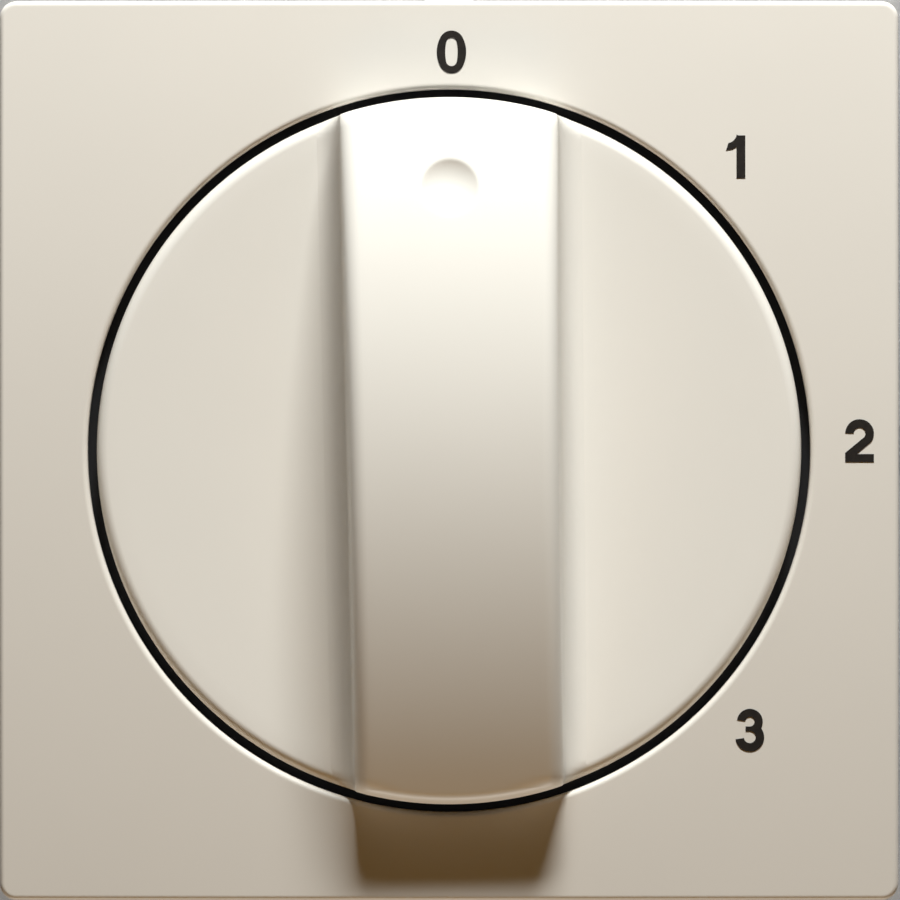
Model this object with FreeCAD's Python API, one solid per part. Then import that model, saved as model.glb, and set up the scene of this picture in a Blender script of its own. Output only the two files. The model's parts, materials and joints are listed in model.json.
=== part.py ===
import FreeCAD, Part
import math
import os

# Flush-mounted rotary step control: a square centre plate with a turning toggle knob,
# clipped to the steel support ring of a switch insert that sits in a round wall box.
#
# Everything is drawn face up, as on a bench: x to the right, y to the top edge and
# z out of the wall towards the user, with z = 0 on the wall plane.  The last step
# stands the device up against the wall: +Z up, the face looking along -Y.
# All sizes are in millimetres.

# ---- centre plate --------------------------------------------------------------------
plate_side = 55.0
plate_corner_r = 1.0
plate_face_z = 10.0
plate_back_z = 2.4
plate_wall = 1.8
plate_edge_r = 0.5
hole_r = 22.2
hole_edge_r = 0.35
collar_inner_r = 23.6
collar_outer_r = 25.2
collar_back_z = 5.0
retainer_z = 5.3
retainer_t = 0.9
retainer_inner_r = 20.4
bead_r = 23.3

# ---- snap legs of the plate, hooked behind the support ring --------------------------
leg_x = 17.5
leg_width = 4.0
leg_inner_y = 20.4
leg_t = 1.4
leg_end_z = -2.0
hook_reach = 0.8
hook_gap = 0.15

# ---- knob ----------------------------------------------------------------------------
knob_r = 21.65
knob_rim_r = 0.7
knob_floor_t = 2.0
knob_skirt_t = 1.6
knob_back_z = 6.4
flange_r = 23.2
flange_t = 1.2
knob_skew_deg = 0.9
bar_half_top = 6.45
bar_half_bottom = 6.15
bar_draft_deg = 2.5
bar_flare_r = 1.5
bar_offset = 0.3
bar_edge_r = 1.0
bar_crest_h = 7.6
arch_r = 48.0
arch_centre_z = plate_face_z + bar_crest_h - arch_r
bar_wall = 1.8
dimple_y = 16.0
dimple_r = 1.7
dimple_depth = 0.38
hub_r = 5.4
hub_back_z = 4.0
hub_top_z = 16.0
hub_crest_t = 1.0
clip_t = 0.5
clip_z = 4.6
clip_h = 0.9

# ---- dial numerals -------------------------------------------------------------------
numeral_h = 2.75
numeral_w = 1.8
stroke = 0.52
ink_t = 0.04
dial_r = 25.3
zero_r = 24.6
print_step_deg = 44.3
dial_step_deg = 45.0

# ---- support ring --------------------------------------------------------------------
ring_side = 71.0
ring_corner = 9.0
ring_t = 1.2
seat_z = 0.3
seat_r = 30.2
window_x = 30.0
window_y = 32.0
window_r = 3.0
box_screw_spacing = 60.0
slot_width = 4.2
slot_length = 5.4

# ---- insert base and cover -----------------------------------------------------------
base_half_x = 17.6
base_half_y = 22.0
base_chamfer = 6.0
base_back_z = -24.0
cover_t = 2.0
base_wall = 2.0
cavity_half_x = 15.8
cavity_half_y = 11.2
ring_screw_y = 19.2
ring_screw_r = 1.25
ring_screw_head_r = 2.4
ring_screw_end_z = -14.0

# ---- spindle, cam drum and stops -----------------------------------------------------
spindle_r = 3.0
running_gap = 0.05
spindle_end_z = -22.2
spindle_tip_z = 14.4
spindle_flat = 2.3
flat_start_z = 4.2
neck_r = 5.5
neck_top_z = 3.0
groove_r = 2.5
circlip_z = 3.3
circlip_t = 0.6
circlip_r = 4.6
drum_r = 8.0
drum_top_z = -4.2
drum_back_z = -18.8
track_z = (-6.5, -10.0, -13.5)
track_h = 2.6
notch_r = 2.0
notch_depth = 0.8
star_z = -17.5
star_h = 2.0
star_valleys = 8
valley_r = 1.3
valley_centre_r = 8.3
lug_inner_r = 5.4
lug_outer_r = 7.4
lug_half_deg = 10.0
lug_h = 1.8
lug_rest_deg = 157.5
lug_end_deg = 22.5
stop_gap_deg = 0.8

# ---- contact and detent springs ------------------------------------------------------
blade_t = 0.3
blade_x = 11.0
blade_half_y = 9.6
blade_h = 2.0
follower_gap = 0.06
follower_r = 1.2
contact_y = 8.2
button_r = 0.9
button_t = 0.6
button_gap = 0.4
strip_t = 0.7
detent_x = 10.2
detent_half_y = 9.4

# ---- terminals -----------------------------------------------------------------------
terminal_x = 8.6
chamber_half_x = 3.8
chamber_inner_y = 12.4
chamber_outer_y = 20.0
screw_z = -13.0
cage_half_x = 3.5
cage_inner_y = 12.7
cage_height = 4.3
cage_wall = 0.9
cage_half_z = 2.5
strip_inner_y = 15.2
terminal_screw_r = 1.5
terminal_head_r = 2.2
terminal_head_y = 18.7
terminal_head_t = 2.2
link_z = -8.8
wire_r = 1.4
wire_y = 14.4

# ---- fixing claws --------------------------------------------------------------------
claw_pin_x = 20.2
claw_pin_z = -5.4
claw_pin_r = 1.0
claw_barrel_r = 1.9
claw_half_y = 4.3
claw_t = 1.4
claw_arm_end_z = -20.5
claw_toe_x = 2.6
claw_notch_half_y = 1.3
claw_tab_x = 8.5
claw_screw_x = 4.6
claw_screw_r = 1.5
claw_screw_end_z = -9.0
claw_head_r = 2.4
claw_head_t = 1.0
nut_half_x = 2.3
nut_half_y = 3.4
nut_h = 2.4
ear_t = 1.2
ear_gap_y = 4.7

X = FreeCAD.Vector(1, 0, 0)
Y = FreeCAD.Vector(0, 1, 0)
Z = FreeCAD.Vector(0, 0, 1)


# ---- small helpers -------------------------------------------------------------------
def vec(x, y, z):
    return FreeCAD.Vector(x, y, z)


def box(x0, x1, y0, y1, z0, z1):
    """Block between two corners, given in either order."""
    low = vec(min(x0, x1), min(y0, y1), min(z0, z1))
    return Part.makeBox(abs(x1 - x0), abs(y1 - y0), abs(z1 - z0), low)


def rod(r, z0, z1, x=0.0, y=0.0):
    """Upright cylinder."""
    return Part.makeCylinder(r, z1 - z0, vec(x, y, z0), Z)


def rod_y(r, y0, y1, x, z):
    """Cylinder along y."""
    return Part.makeCylinder(r, abs(y1 - y0), vec(x, min(y0, y1), z), Y)


def tube(r_out, r_in, z0, z1):
    return rod(r_out, z0, z1).cut(rod(r_in, z0 - 1, z1 + 1))


def fused(first, *rest):
    shape = first
    for other in rest:
        shape = shape.fuse(other)
    return shape.removeSplitter()


def prism(points, z0, z1):
    """Straight-sided solid over a closed outline of (x, y) corners."""
    corners = [vec(x, y, z0) for x, y in points]
    face = Part.Face(Part.makePolygon(corners + corners[:1]))
    return face.extrude(vec(0, 0, z1 - z0))


def prism_xz(points, y0, y1):
    """Solid over a closed outline of (x, z) corners, running along y."""
    corners = [vec(x, y0, z) for x, z in points]
    face = Part.Face(Part.makePolygon(corners + corners[:1]))
    return face.extrude(vec(0, y1 - y0, 0))


def rounded_block(side_x, side_y, r, z0, z1):
    """Centred block with rounded upright edges."""
    block = box(-side_x / 2, side_x / 2, -side_y / 2, side_y / 2, z0, z1)
    upright = [e for e in block.Edges if abs(e.tangentAt(e.FirstParameter).z) > 0.99]
    return block.makeFillet(r, upright)


def edges_at(shape, z, test):
    """Edges that lie in the plane z and pass a test of their middle point."""
    found = []
    for edge in shape.Edges:
        span = edge.BoundBox
        if abs(span.ZMin - z) < 1e-4 and abs(span.ZMax - z) < 1e-4:
            middle = edge.valueAt((edge.FirstParameter + edge.LastParameter) / 2)
            if test(middle):
                found.append(edge)
    return found


def sector(r_in, r_out, start_deg, end_deg, z0, z1, x=0.0, y=0.0):
    """Part of a ring, from one angle counter-clockwise to another."""
    def point(r, deg):
        a = math.radians(deg)
        return vec(x + r * math.cos(a), y + r * math.sin(a), z0)

    middle = (start_deg + end_deg) / 2
    edges = [
        Part.Arc(point(r_out, start_deg), point(r_out, middle), point(r_out, end_deg)).toShape(),
        Part.makeLine(point(r_out, end_deg), point(r_in, end_deg)),
        Part.Arc(point(r_in, end_deg), point(r_in, middle), point(r_in, start_deg)).toShape(),
        Part.makeLine(point(r_in, start_deg), point(r_out, start_deg)),
    ]
    face = Part.Face(Part.Wire(edges))
    return face.extrude(vec(0, 0, z1 - z0))


def slot_hole(length, width, along_x, x, y, z0, z1):
    """Cutter for a round-ended slot."""
    reach = (length - width) / 2
    if along_x:
        middle = box(x - reach, x + reach, y - width / 2, y + width / 2, z0, z1)
        ends = [rod(width / 2, z0, z1, x + s * reach, y) for s in (-1, 1)]
    else:
        middle = box(x - width / 2, x + width / 2, y - reach, y + reach, z0, z1)
        ends = [rod(width / 2, z0, z1, x, y + s * reach) for s in (-1, 1)]
    return fused(middle, *ends)


def mirror_x(shape):
    return shape.mirror(vec(0, 0, 0), X)


# ---- centre plate and dial -----------------------------------------------------------
def make_centre_plate():
    half = plate_side / 2
    inner = plate_side - 2 * plate_wall
    lip_back_z = plate_face_z - plate_wall
    body = rounded_block(plate_side, plate_side, plate_corner_r, plate_back_z, plate_face_z)
    body = body.cut(box(-inner / 2, inner / 2, -inner / 2, inner / 2, plate_back_z - 1, lip_back_z))
    body = body.fuse(rod(collar_outer_r, collar_back_z, lip_back_z))
    body = body.cut(rod(collar_inner_r, retainer_z, lip_back_z))
    body = body.cut(rod(bead_r, collar_back_z - 1, retainer_z))
    body = body.cut(rod(hole_r, collar_back_z, plate_face_z + 1))
    for sx in (-1, 1):
        for sy in (-1, 1):
            body = body.fuse(snap_leg(sx, sy, lip_back_z))
    body = body.removeSplitter()
    outer = edges_at(body, plate_face_z, lambda p: max(abs(p.x), abs(p.y)) > half - 1.5)
    body = body.makeFillet(plate_edge_r, outer)
    rim = edges_at(body, plate_face_z, lambda p: math.hypot(p.x, p.y) < hole_r + 0.5)
    return body.makeFillet(hole_edge_r, rim)


def snap_leg(sx, sy, top_z):
    """One springy leg with a hook that catches behind the support ring."""
    x0 = sx * leg_x - leg_width / 2
    x1 = sx * leg_x + leg_width / 2
    outer_y = leg_inner_y + leg_t
    hook_top_z = seat_z - hook_gap
    leg = box(x0, x1, sy * leg_inner_y, sy * outer_y, leg_end_z, top_z + 0.2)
    corners = [
        vec(x0, sy * (outer_y - 0.2), hook_top_z),
        vec(x0, sy * (outer_y + hook_reach), hook_top_z),
        vec(x0, sy * outer_y, leg_end_z),
        vec(x0, sy * (outer_y - 0.2), leg_end_z),
    ]
    face = Part.Face(Part.makePolygon(corners + corners[:1]))
    return leg.fuse(face.extrude(vec(leg_width, 0, 0)))


def oval(half_w, half_h, end_r, z0, z1):
    """Upright oval of two end arcs and two longer side arcs, all tangent."""
    rise = half_h - end_r
    side_r = (half_w ** 2 + rise ** 2 - end_r ** 2) / (2 * (half_w - end_r))
    lean = math.asin(rise / (side_r - end_r))
    joint_x = end_r * math.cos(lean)
    joint_y = rise + end_r * math.sin(lean)
    top = Part.Arc(vec(joint_x, joint_y, z0), vec(0, half_h, z0), vec(-joint_x, joint_y, z0))
    left = Part.Arc(vec(-joint_x, joint_y, z0), vec(-half_w, 0, z0), vec(-joint_x, -joint_y, z0))
    foot = Part.Arc(vec(-joint_x, -joint_y, z0), vec(0, -half_h, z0), vec(joint_x, -joint_y, z0))
    right = Part.Arc(vec(joint_x, -joint_y, z0), vec(half_w, 0, z0), vec(joint_x, joint_y, z0))
    face = Part.Face(Part.Wire([arc.toShape() for arc in (top, left, foot, right)]))
    return face.extrude(vec(0, 0, z1 - z0))


def numeral_zero(z0, z1):
    half_w = numeral_w / 2
    half_h = numeral_h / 2
    outer = oval(half_w, half_h, half_w - 0.14, z0, z1)
    inner = oval(half_w - stroke, half_h - stroke + 0.08, half_w - stroke - 0.05, z0 - 1, z1 + 1)
    return outer.cut(inner)


def numeral_one(z0, z1):
    half_h = numeral_h / 2
    stem = stroke + 0.02
    right = 0.58
    left = right - stem
    outline = [
        (right, -half_h), (right, half_h), (left + 0.10, half_h), (left - 0.07, half_h - 0.33),
        (left - 0.30, half_h - 0.48), (-0.60, half_h - 0.54), (-0.60, half_h - 0.92),
        (left, half_h - 0.92), (left, -half_h),
    ]
    return prism(outline, z0, z1)


def numeral_two(z0, z1):
    half_w = numeral_w / 2 - 0.02
    half_h = numeral_h / 2
    bowl_y = half_h - half_w
    bowl = sector(half_w - stroke, half_w, -35, 178, z0, z1, 0, bowl_y)
    turn = math.radians(-35)
    inner = ((half_w - stroke) * math.cos(turn), bowl_y + (half_w - stroke) * math.sin(turn))
    outer = (half_w * math.cos(turn), bowl_y + half_w * math.sin(turn))
    foot_y = -half_h + stroke - 0.03
    slope = (inner[0] + half_w) / (inner[1] - foot_y - 0.07)
    heel_x = outer[0] - (outer[1] - foot_y) * slope
    neck = prism([inner, outer, (heel_x, foot_y), (-half_w, foot_y), (-half_w, foot_y + 0.07)], z0, z1)
    foot = box(-half_w, half_w, -half_h, foot_y, z0, z1)
    return fused(bowl, neck, foot)


def numeral_three(z0, z1):
    half_h = numeral_h / 2
    upper_r = 0.79
    lower_r = numeral_w / 2 - 0.02
    upper_y = half_h - upper_r
    lower_y = -half_h + lower_r
    upper = sector(upper_r - stroke + 0.02, upper_r, -90, 172, z0, z1, 0, upper_y)
    lower = sector(lower_r - stroke, lower_r, -172, 90, z0, z1, 0, lower_y)
    waist = box(-0.26, 0.02, upper_y - upper_r, lower_y + lower_r, z0, z1)
    return fused(upper, lower, waist)


def make_dial_numerals():
    """Off and three stages, printed beside the knob a step apart, clockwise from the top."""
    z0 = plate_face_z
    z1 = plate_face_z + ink_t
    glyphs = [numeral_zero(z0, z1), numeral_one(z0, z1), numeral_two(z0, z1), numeral_three(z0, z1)]
    placed = []
    for stage, glyph in enumerate(glyphs):
        angle = math.radians(90 - stage * print_step_deg)
        r = dial_r if stage else zero_r
        glyph.translate(vec(r * math.cos(angle), r * math.sin(angle), 0))
        placed.append(glyph)
    return Part.makeCompound(placed)


def make_knob_retainer():
    return tube(collar_inner_r, retainer_inner_r, retainer_z, retainer_z + retainer_t)


# ---- knob ----------------------------------------------------------------------------
def bar_section(half_top, y):
    """Cross-section of the toggle bar: drafted sides that flare out to the disc."""
    face_z = plate_face_z
    crest_z = face_z + bar_crest_h
    top_z = crest_z + 1.0
    lean = math.tan(math.radians(bar_draft_deg))
    tilt = math.radians(bar_draft_deg)
    half_at = half_top + (crest_z - face_z) * lean
    # the flare arc touches the disc face and the drafted side
    centre_x = half_at + bar_flare_r * (1 - math.sin(tilt)) / math.cos(tilt)
    centre_z = face_z + bar_flare_r
    touch_x = centre_x - bar_flare_r * math.cos(tilt)
    touch_z = centre_z - bar_flare_r * math.sin(tilt)
    middle = (math.radians(270) + math.radians(180) + tilt) / 2
    mid_x = centre_x + bar_flare_r * math.cos(middle)
    mid_z = centre_z + bar_flare_r * math.sin(middle)
    top_x = half_top - (top_z - crest_z) * lean
    under_z = face_z - 0.5
    right_arc = Part.Arc(vec(centre_x, y, face_z), vec(mid_x, y, mid_z), vec(touch_x, y, touch_z))
    left_arc = Part.Arc(vec(-touch_x, y, touch_z), vec(-mid_x, y, mid_z), vec(-centre_x, y, face_z))
    edges = [
        Part.makeLine(vec(-centre_x, y, under_z), vec(centre_x, y, under_z)),
        Part.makeLine(vec(centre_x, y, under_z), vec(centre_x, y, face_z)),
        right_arc.toShape(),
        Part.makeLine(vec(touch_x, y, touch_z), vec(top_x, y, top_z)),
        Part.makeLine(vec(top_x, y, top_z), vec(-top_x, y, top_z)),
        Part.makeLine(vec(-top_x, y, top_z), vec(-touch_x, y, touch_z)),
        left_arc.toShape(),
        Part.makeLine(vec(-centre_x, y, face_z), vec(-centre_x, y, under_z)),
    ]
    return Part.Wire(edges)


def arch_solid(r):
    """Round arch over the middle of the knob, lying along x."""
    return Part.makeCylinder(r, 2 * knob_r, vec(-knob_r, 0, arch_centre_z), X)


def make_bar():
    reach = knob_r + 2
    low = bar_section(bar_half_bottom, -reach)
    high = bar_section(bar_half_top, reach)
    flared = Part.makeLoft([low, high], True, True)
    bar = flared.common(arch_solid(arch_r))
    crest = []
    for edge in bar.Edges:
        middle = edge.valueAt((edge.FirstParameter + edge.LastParameter) / 2)
        off_arch = abs(math.hypot(middle.y, middle.z - arch_centre_z) - arch_r)
        if off_arch < 1e-3 and middle.z > plate_face_z + 4 and abs(middle.x) > 5:
            crest.append(edge)
    bar = bar.makeFillet(bar_edge_r, crest)
    bar.translate(vec(bar_offset, 0, 0))
    return bar


def make_knob():
    face_z = plate_face_z
    disc = rod(knob_r, knob_back_z, face_z)
    disc = disc.makeFillet(knob_rim_r, edges_at(disc, face_z, lambda p: True))
    bar = make_bar().common(rod(knob_r - 0.02, face_z - knob_rim_r - 0.4, face_z + 20))
    body = disc.fuse(bar)
    body = body.fuse(tube(flange_r, knob_r - 0.5, knob_back_z, knob_back_z + flange_t))
    body = body.cut(rod(knob_r - knob_skirt_t, knob_back_z - 1, face_z - knob_floor_t))
    half_in = bar_half_bottom - bar_wall
    left = bar_offset - half_in
    right = bar_offset + half_in
    hollow = box(left, right, -knob_r, knob_r, face_z - knob_floor_t - 0.1, face_z + 12)
    hollow = hollow.common(arch_solid(arch_r - bar_wall)).common(rod(knob_r - 3, 0, 30))
    body = body.cut(hollow)
    # the hub fills the middle of the hollow bar
    hub_foot = rod(hub_r, hub_back_z, face_z - 1)
    hub_core = box(left - 0.5, right + 0.5, -hub_r, hub_r, face_z - 3, hub_top_z)
    hub_core = hub_core.common(arch_solid(arch_r - hub_crest_t))
    hub = rod(hub_r, hub_back_z, hub_top_z).common(hub_foot.fuse(hub_core))
    body = body.fuse(hub)
    body = body.cut(spindle_form(running_gap / 2, spindle_tip_z + 0.2))
    slope = math.asin(dimple_y / arch_r)
    ball_r = (dimple_r ** 2 + dimple_depth ** 2) / (2 * dimple_depth)
    lift = arch_r + ball_r - dimple_depth
    ball_y = lift * math.sin(slope)
    ball_z = arch_centre_z + lift * math.cos(slope)
    body = body.cut(Part.makeSphere(ball_r, vec(bar_offset, ball_y, ball_z))).removeSplitter()
    body.rotate(vec(0, 0, 0), Z, knob_skew_deg)
    return body


def make_knob_clip():
    """Open spring ring that squeezes the slotted hub on the spindle."""
    return sector(hub_r, hub_r + clip_t, 25, 335, clip_z, clip_z + clip_h)


# ---- support ring --------------------------------------------------------------------
def claw_ear(sy):
    """Bent ear of the ring that carries one end of a claw pin, on the right."""
    y0 = sy * ear_gap_y
    y1 = sy * (ear_gap_y + ear_t)
    ear = box(claw_pin_x - claw_barrel_r, claw_pin_x + claw_barrel_r, y0, y1, claw_pin_z, ring_t)
    ear = ear.fuse(rod_y(claw_barrel_r, y0, y1, claw_pin_x, claw_pin_z))
    return ear.cut(rod_y(claw_pin_r, -10, 10, claw_pin_x, claw_pin_z))


def make_support_ring():
    half = ring_side / 2
    corner = half - ring_corner
    outline = [
        (-half, -corner), (-corner, -half), (corner, -half), (half, -corner),
        (half, corner), (corner, half), (-corner, half), (-half, corner),
    ]
    ring = prism(outline, 0, ring_t)
    upright = [e for e in ring.Edges if abs(e.tangentAt(e.FirstParameter).z) > 0.99]
    ring = ring.makeFillet(3.0, upright)
    # the middle is pressed forward a little, so only the rim touches the wall
    ring = ring.cut(rod(seat_r, -1, seat_z))
    ring = ring.cut(rounded_block(window_x, window_y, window_r, -1, ring_t + 1))
    for s in (-1, 1):
        reach = s * box_screw_spacing / 2
        ring = ring.cut(slot_hole(slot_length, slot_width, True, reach, 0, -1, ring_t + 1))
        ring = ring.cut(slot_hole(slot_length, slot_width, False, 0, reach, -1, ring_t + 1))
        ring = ring.cut(rod(ring_screw_r + 0.1, -1, ring_t + 1, 0, s * ring_screw_y))
        ring = ring.cut(rod(claw_screw_r + 0.2, -1, ring_t + 1, s * (claw_pin_x + claw_screw_x), 0))
    for sx in (-1, 1):
        for sy in (-1, 1):
            x0 = sx * leg_x - leg_width / 2 - 0.3
            y0 = sy * (leg_inner_y - 0.3)
            y1 = sy * (leg_inner_y + leg_t + 0.2)
            ring = ring.cut(box(x0, x0 + leg_width + 0.6, y0, y1, -1, ring_t + 1))
    ears = [claw_ear(sy) for sy in (-1, 1)]
    ears += [mirror_x(ear) for ear in ears]
    return fused(ring, *ears)


def make_ring_screws():
    """Two countersunk screws that hold ring, cover and base together."""
    screws = []
    for s in (-1, 1):
        shank = rod(ring_screw_r, ring_screw_end_z, ring_t, 0, s * ring_screw_y)
        head = rod(ring_screw_head_r, ring_t, ring_t + 0.9, 0, s * ring_screw_y)
        recess = box(-0.35, 0.35, s * ring_screw_y - 3, s * ring_screw_y + 3, ring_t + 0.4, ring_t + 2)
        screws.append(fused(shank, head).cut(recess))
    return Part.makeCompound(screws)


# ---- fixing claws, drawn for the right side ------------------------------------------
def make_claw_pin():
    return rod_y(claw_pin_r, -ear_gap_y - ear_t - 0.3, ear_gap_y + ear_t + 0.3, claw_pin_x, claw_pin_z)


def make_claw():
    """Steel claw: barrel on its pin, arm down beside the base, slotted tab outwards."""
    px = claw_pin_x
    pz = claw_pin_z
    half_t = claw_t / 2
    barrel = rod_y(claw_barrel_r, -claw_half_y, claw_half_y, px, pz)
    tab = box(px, px + claw_tab_x, -claw_half_y, claw_half_y, pz - half_t, pz + half_t)
    arm_outline = [
        (px - half_t, pz), (px - half_t, claw_arm_end_z), (px + claw_toe_x, claw_arm_end_z + 0.4),
        (px + claw_toe_x, claw_arm_end_z + 1.2), (px + half_t, claw_arm_end_z + 2.2), (px + half_t, pz),
    ]
    arm = prism_xz(arm_outline, -claw_half_y, claw_half_y)
    body = fused(barrel, tab, arm)
    gap = claw_screw_r + 0.3
    body = body.cut(box(px + 2.5, px + claw_tab_x - 0.8, -gap, gap, pz - 2, pz + 2))
    half_y = claw_notch_half_y
    body = body.cut(box(px - 1, px + 4, -half_y, half_y, claw_arm_end_z - 1, claw_arm_end_z + 1.8))
    return body.cut(rod_y(claw_pin_r + 0.06, -10, 10, px, pz))


def make_claw_screw():
    x = claw_pin_x + claw_screw_x
    shank = rod(claw_screw_r, claw_screw_end_z, ring_t, x)
    head_z = ring_t + 0.02
    head = rod(claw_head_r, head_z, head_z + claw_head_t, x)
    neck = rod(claw_screw_r, ring_t - 0.5, head_z + 0.1, x)
    recess = box(x - 3, x + 3, -0.4, 0.4, ring_t + 0.5, ring_t + 3)
    return fused(shank, neck, head).cut(recess)


def make_claw_nut():
    x = claw_pin_x + claw_screw_x
    top = claw_pin_z - claw_t / 2 - 0.1
    nut = box(x - nut_half_x, x + nut_half_x, -nut_half_y, nut_half_y, top - nut_h, top)
    return nut.cut(rod(claw_screw_r + running_gap, -20, 0, x))


# ---- insert base and cover -----------------------------------------------------------
def base_outline():
    hx = base_half_x
    hy = base_half_y
    c = base_chamfer
    return [
        (-hx, -hy + c), (-hx + c, -hy), (hx - c, -hy), (hx, -hy + c),
        (hx, hy - c), (hx - c, hy), (-hx + c, hy), (-hx, hy - c),
    ]


def terminal_places():
    """Number, side in x and side in y of the four terminals; the first one is the common."""
    return [(1, 1, -1), (2, 1, 1), (3, -1, 1), (4, -1, -1)]


def make_base():
    floor_z = base_back_z + base_wall
    body = prism(base_outline(), base_back_z, -cover_t)
    body = body.cut(box(-cavity_half_x, cavity_half_x, -cavity_half_y, cavity_half_y, floor_z, 0))
    for _, sx, sy in terminal_places():
        x = sx * terminal_x
        half = chamber_half_x
        y0 = sy * chamber_inner_y
        y1 = sy * chamber_outer_y
        body = body.cut(box(x - half, x + half, y0, y1, floor_z, 0))
        body = body.cut(rod(wire_r, base_back_z - 1, floor_z + 1, x, sy * wire_y))
        body = body.cut(rod_y(terminal_head_r + 0.2, y1 - sy, sy * (base_half_y + 1), x, screw_z))
        body = body.cut(box(x - 1.8, x + 1.8, sy * (cavity_half_y - 1), y0 + sy, link_z - 0.3, 0))
    for s in (-1, 1):
        body = body.cut(rod(ring_screw_r, ring_screw_end_z - 1, 0, 0, s * ring_screw_y))
    seat_top = drum_back_z - 0.4
    body = body.fuse(rod(5.0, floor_z - 0.5, seat_top))
    body = body.cut(rod(spindle_r + running_gap, spindle_end_z - 0.2, seat_top + 1))
    for sx in (-1, 1):
        for sy in (-1, 1):
            post_x = sx * (detent_x + blade_t)
            y0 = sy * (detent_half_y - 1.4)
            post_top = star_z + star_h / 2
            post = box(post_x, post_x + sx * 1.6, y0, sy * cavity_half_y, floor_z - 0.5, post_top)
            body = body.fuse(post)
    return body.removeSplitter()


def make_base_cover():
    plate = prism(base_outline(), -cover_t, seat_z)
    plate = plate.fuse(rod(neck_r, 0, neck_top_z))
    start = lug_rest_deg + lug_half_deg + stop_gap_deg
    end = lug_end_deg - lug_half_deg - stop_gap_deg + 360
    rim = sector(lug_inner_r - 0.2, lug_outer_r + 0.2, start, end, drum_top_z + 0.2, -cover_t + 0.5)
    plate = plate.fuse(rim)
    plate = plate.cut(rod(spindle_r + running_gap, -5, neck_top_z + 1))
    for s in (-1, 1):
        plate = plate.cut(rod(ring_screw_r + 0.1, -3, 1, 0, s * ring_screw_y))
    return plate.removeSplitter()


# ---- spindle and drum ----------------------------------------------------------------
def spindle_form(gap, tip_z):
    """Round spindle whose upper end is flattened on one side."""
    shaft = rod(spindle_r + gap, spindle_end_z, tip_z)
    return shaft.cut(box(spindle_flat + gap, 5, -5, 5, flat_start_z, tip_z + 1))


def make_spindle():
    shaft = spindle_form(0, spindle_tip_z)
    tip = edges_at(shaft, spindle_tip_z, lambda p: True)
    shaft = shaft.makeChamfer(0.3, tip)
    return shaft.cut(tube(spindle_r + 1, groove_r, circlip_z, circlip_z + circlip_t))


def make_spindle_circlip():
    return sector(groove_r, circlip_r, 30, 330, circlip_z, circlip_z + circlip_t)


def make_spindle_washer():
    return tube(circlip_r + 0.6, spindle_r + running_gap, neck_top_z + 0.02, circlip_z - 0.02)


def make_cam_drum():
    drum = rod(drum_r, drum_back_z, drum_top_z)
    for stage, z in enumerate(track_z, start=1):
        angle = math.radians(stage * dial_step_deg)
        reach = drum_r + notch_r - notch_depth
        notch_x = reach * math.cos(angle)
        notch_y = reach * math.sin(angle)
        drum = drum.cut(rod(notch_r, z - track_h / 2, z + track_h / 2, notch_x, notch_y))
    valley_top = star_z + star_h / 2 + 0.3
    for valley in range(star_valleys):
        angle = 2 * math.pi * valley / star_valleys
        valley_x = valley_centre_r * math.cos(angle)
        valley_y = valley_centre_r * math.sin(angle)
        drum = drum.cut(rod(valley_r, drum_back_z - 1, valley_top, valley_x, valley_y))
    start = lug_rest_deg - lug_half_deg
    end = lug_rest_deg + lug_half_deg
    lug = sector(lug_inner_r, lug_outer_r, start, end, drum_top_z - 0.5, drum_top_z + lug_h)
    drum = drum.fuse(lug)
    return drum.cut(rod(spindle_r, drum_back_z - 1, 0)).removeSplitter()


# ---- springs and contacts ------------------------------------------------------------
def make_contact_spring(z):
    """Blade with a nose that rides on its cam track and a silver button near its tip."""
    low = z - blade_h / 2
    high = z + blade_h / 2
    blade = box(blade_x, blade_x + blade_t, -blade_half_y, blade_half_y, low, high)
    nose_x = drum_r + follower_gap + follower_r
    nose = rod(follower_r, low, high, nose_x, 0)
    shank = box(nose_x, blade_x + 0.1, -follower_r, follower_r, low, high)
    button = Part.makeCylinder(button_r, button_t, vec(blade_x - button_t, contact_y, z), X)
    return fused(blade, nose, shank, button)


def make_detent_spring():
    low = star_z - star_h / 2 + 0.1
    high = star_z + star_h / 2 - 0.1
    blade = box(detent_x, detent_x + blade_t, -detent_half_y, detent_half_y, low, high)
    nose = rod(valley_r - 0.1, low, high, valley_centre_r, 0)
    shank = box(valley_centre_r, detent_x + 0.1, -valley_r + 0.1, valley_r - 0.1, low, high)
    return fused(blade, nose, shank)


def terminal_strip(sx, sy):
    """Clamping strip of one terminal with its link through the partition."""
    x = sx * terminal_x
    y_link = sy * (cavity_half_y - 1.15)
    y_bar = sy * (strip_inner_y + strip_t)
    bar = box(x - 2.5, x + 2.5, sy * strip_inner_y, y_bar, screw_z - 3.5, link_z + strip_t)
    link = box(x - 1.5, x + 1.5, y_link, y_bar, link_z, link_z + strip_t)
    return bar.fuse(link)


def riser(x, y_link, sy, z):
    """Upright stretch that joins a contact level to the link level."""
    low = min(z - blade_h / 2, link_z)
    high = max(z + blade_h / 2, link_z + strip_t)
    return box(x - 1.5, x + 1.5, y_link, y_link + sy * strip_t, low, high)


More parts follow.
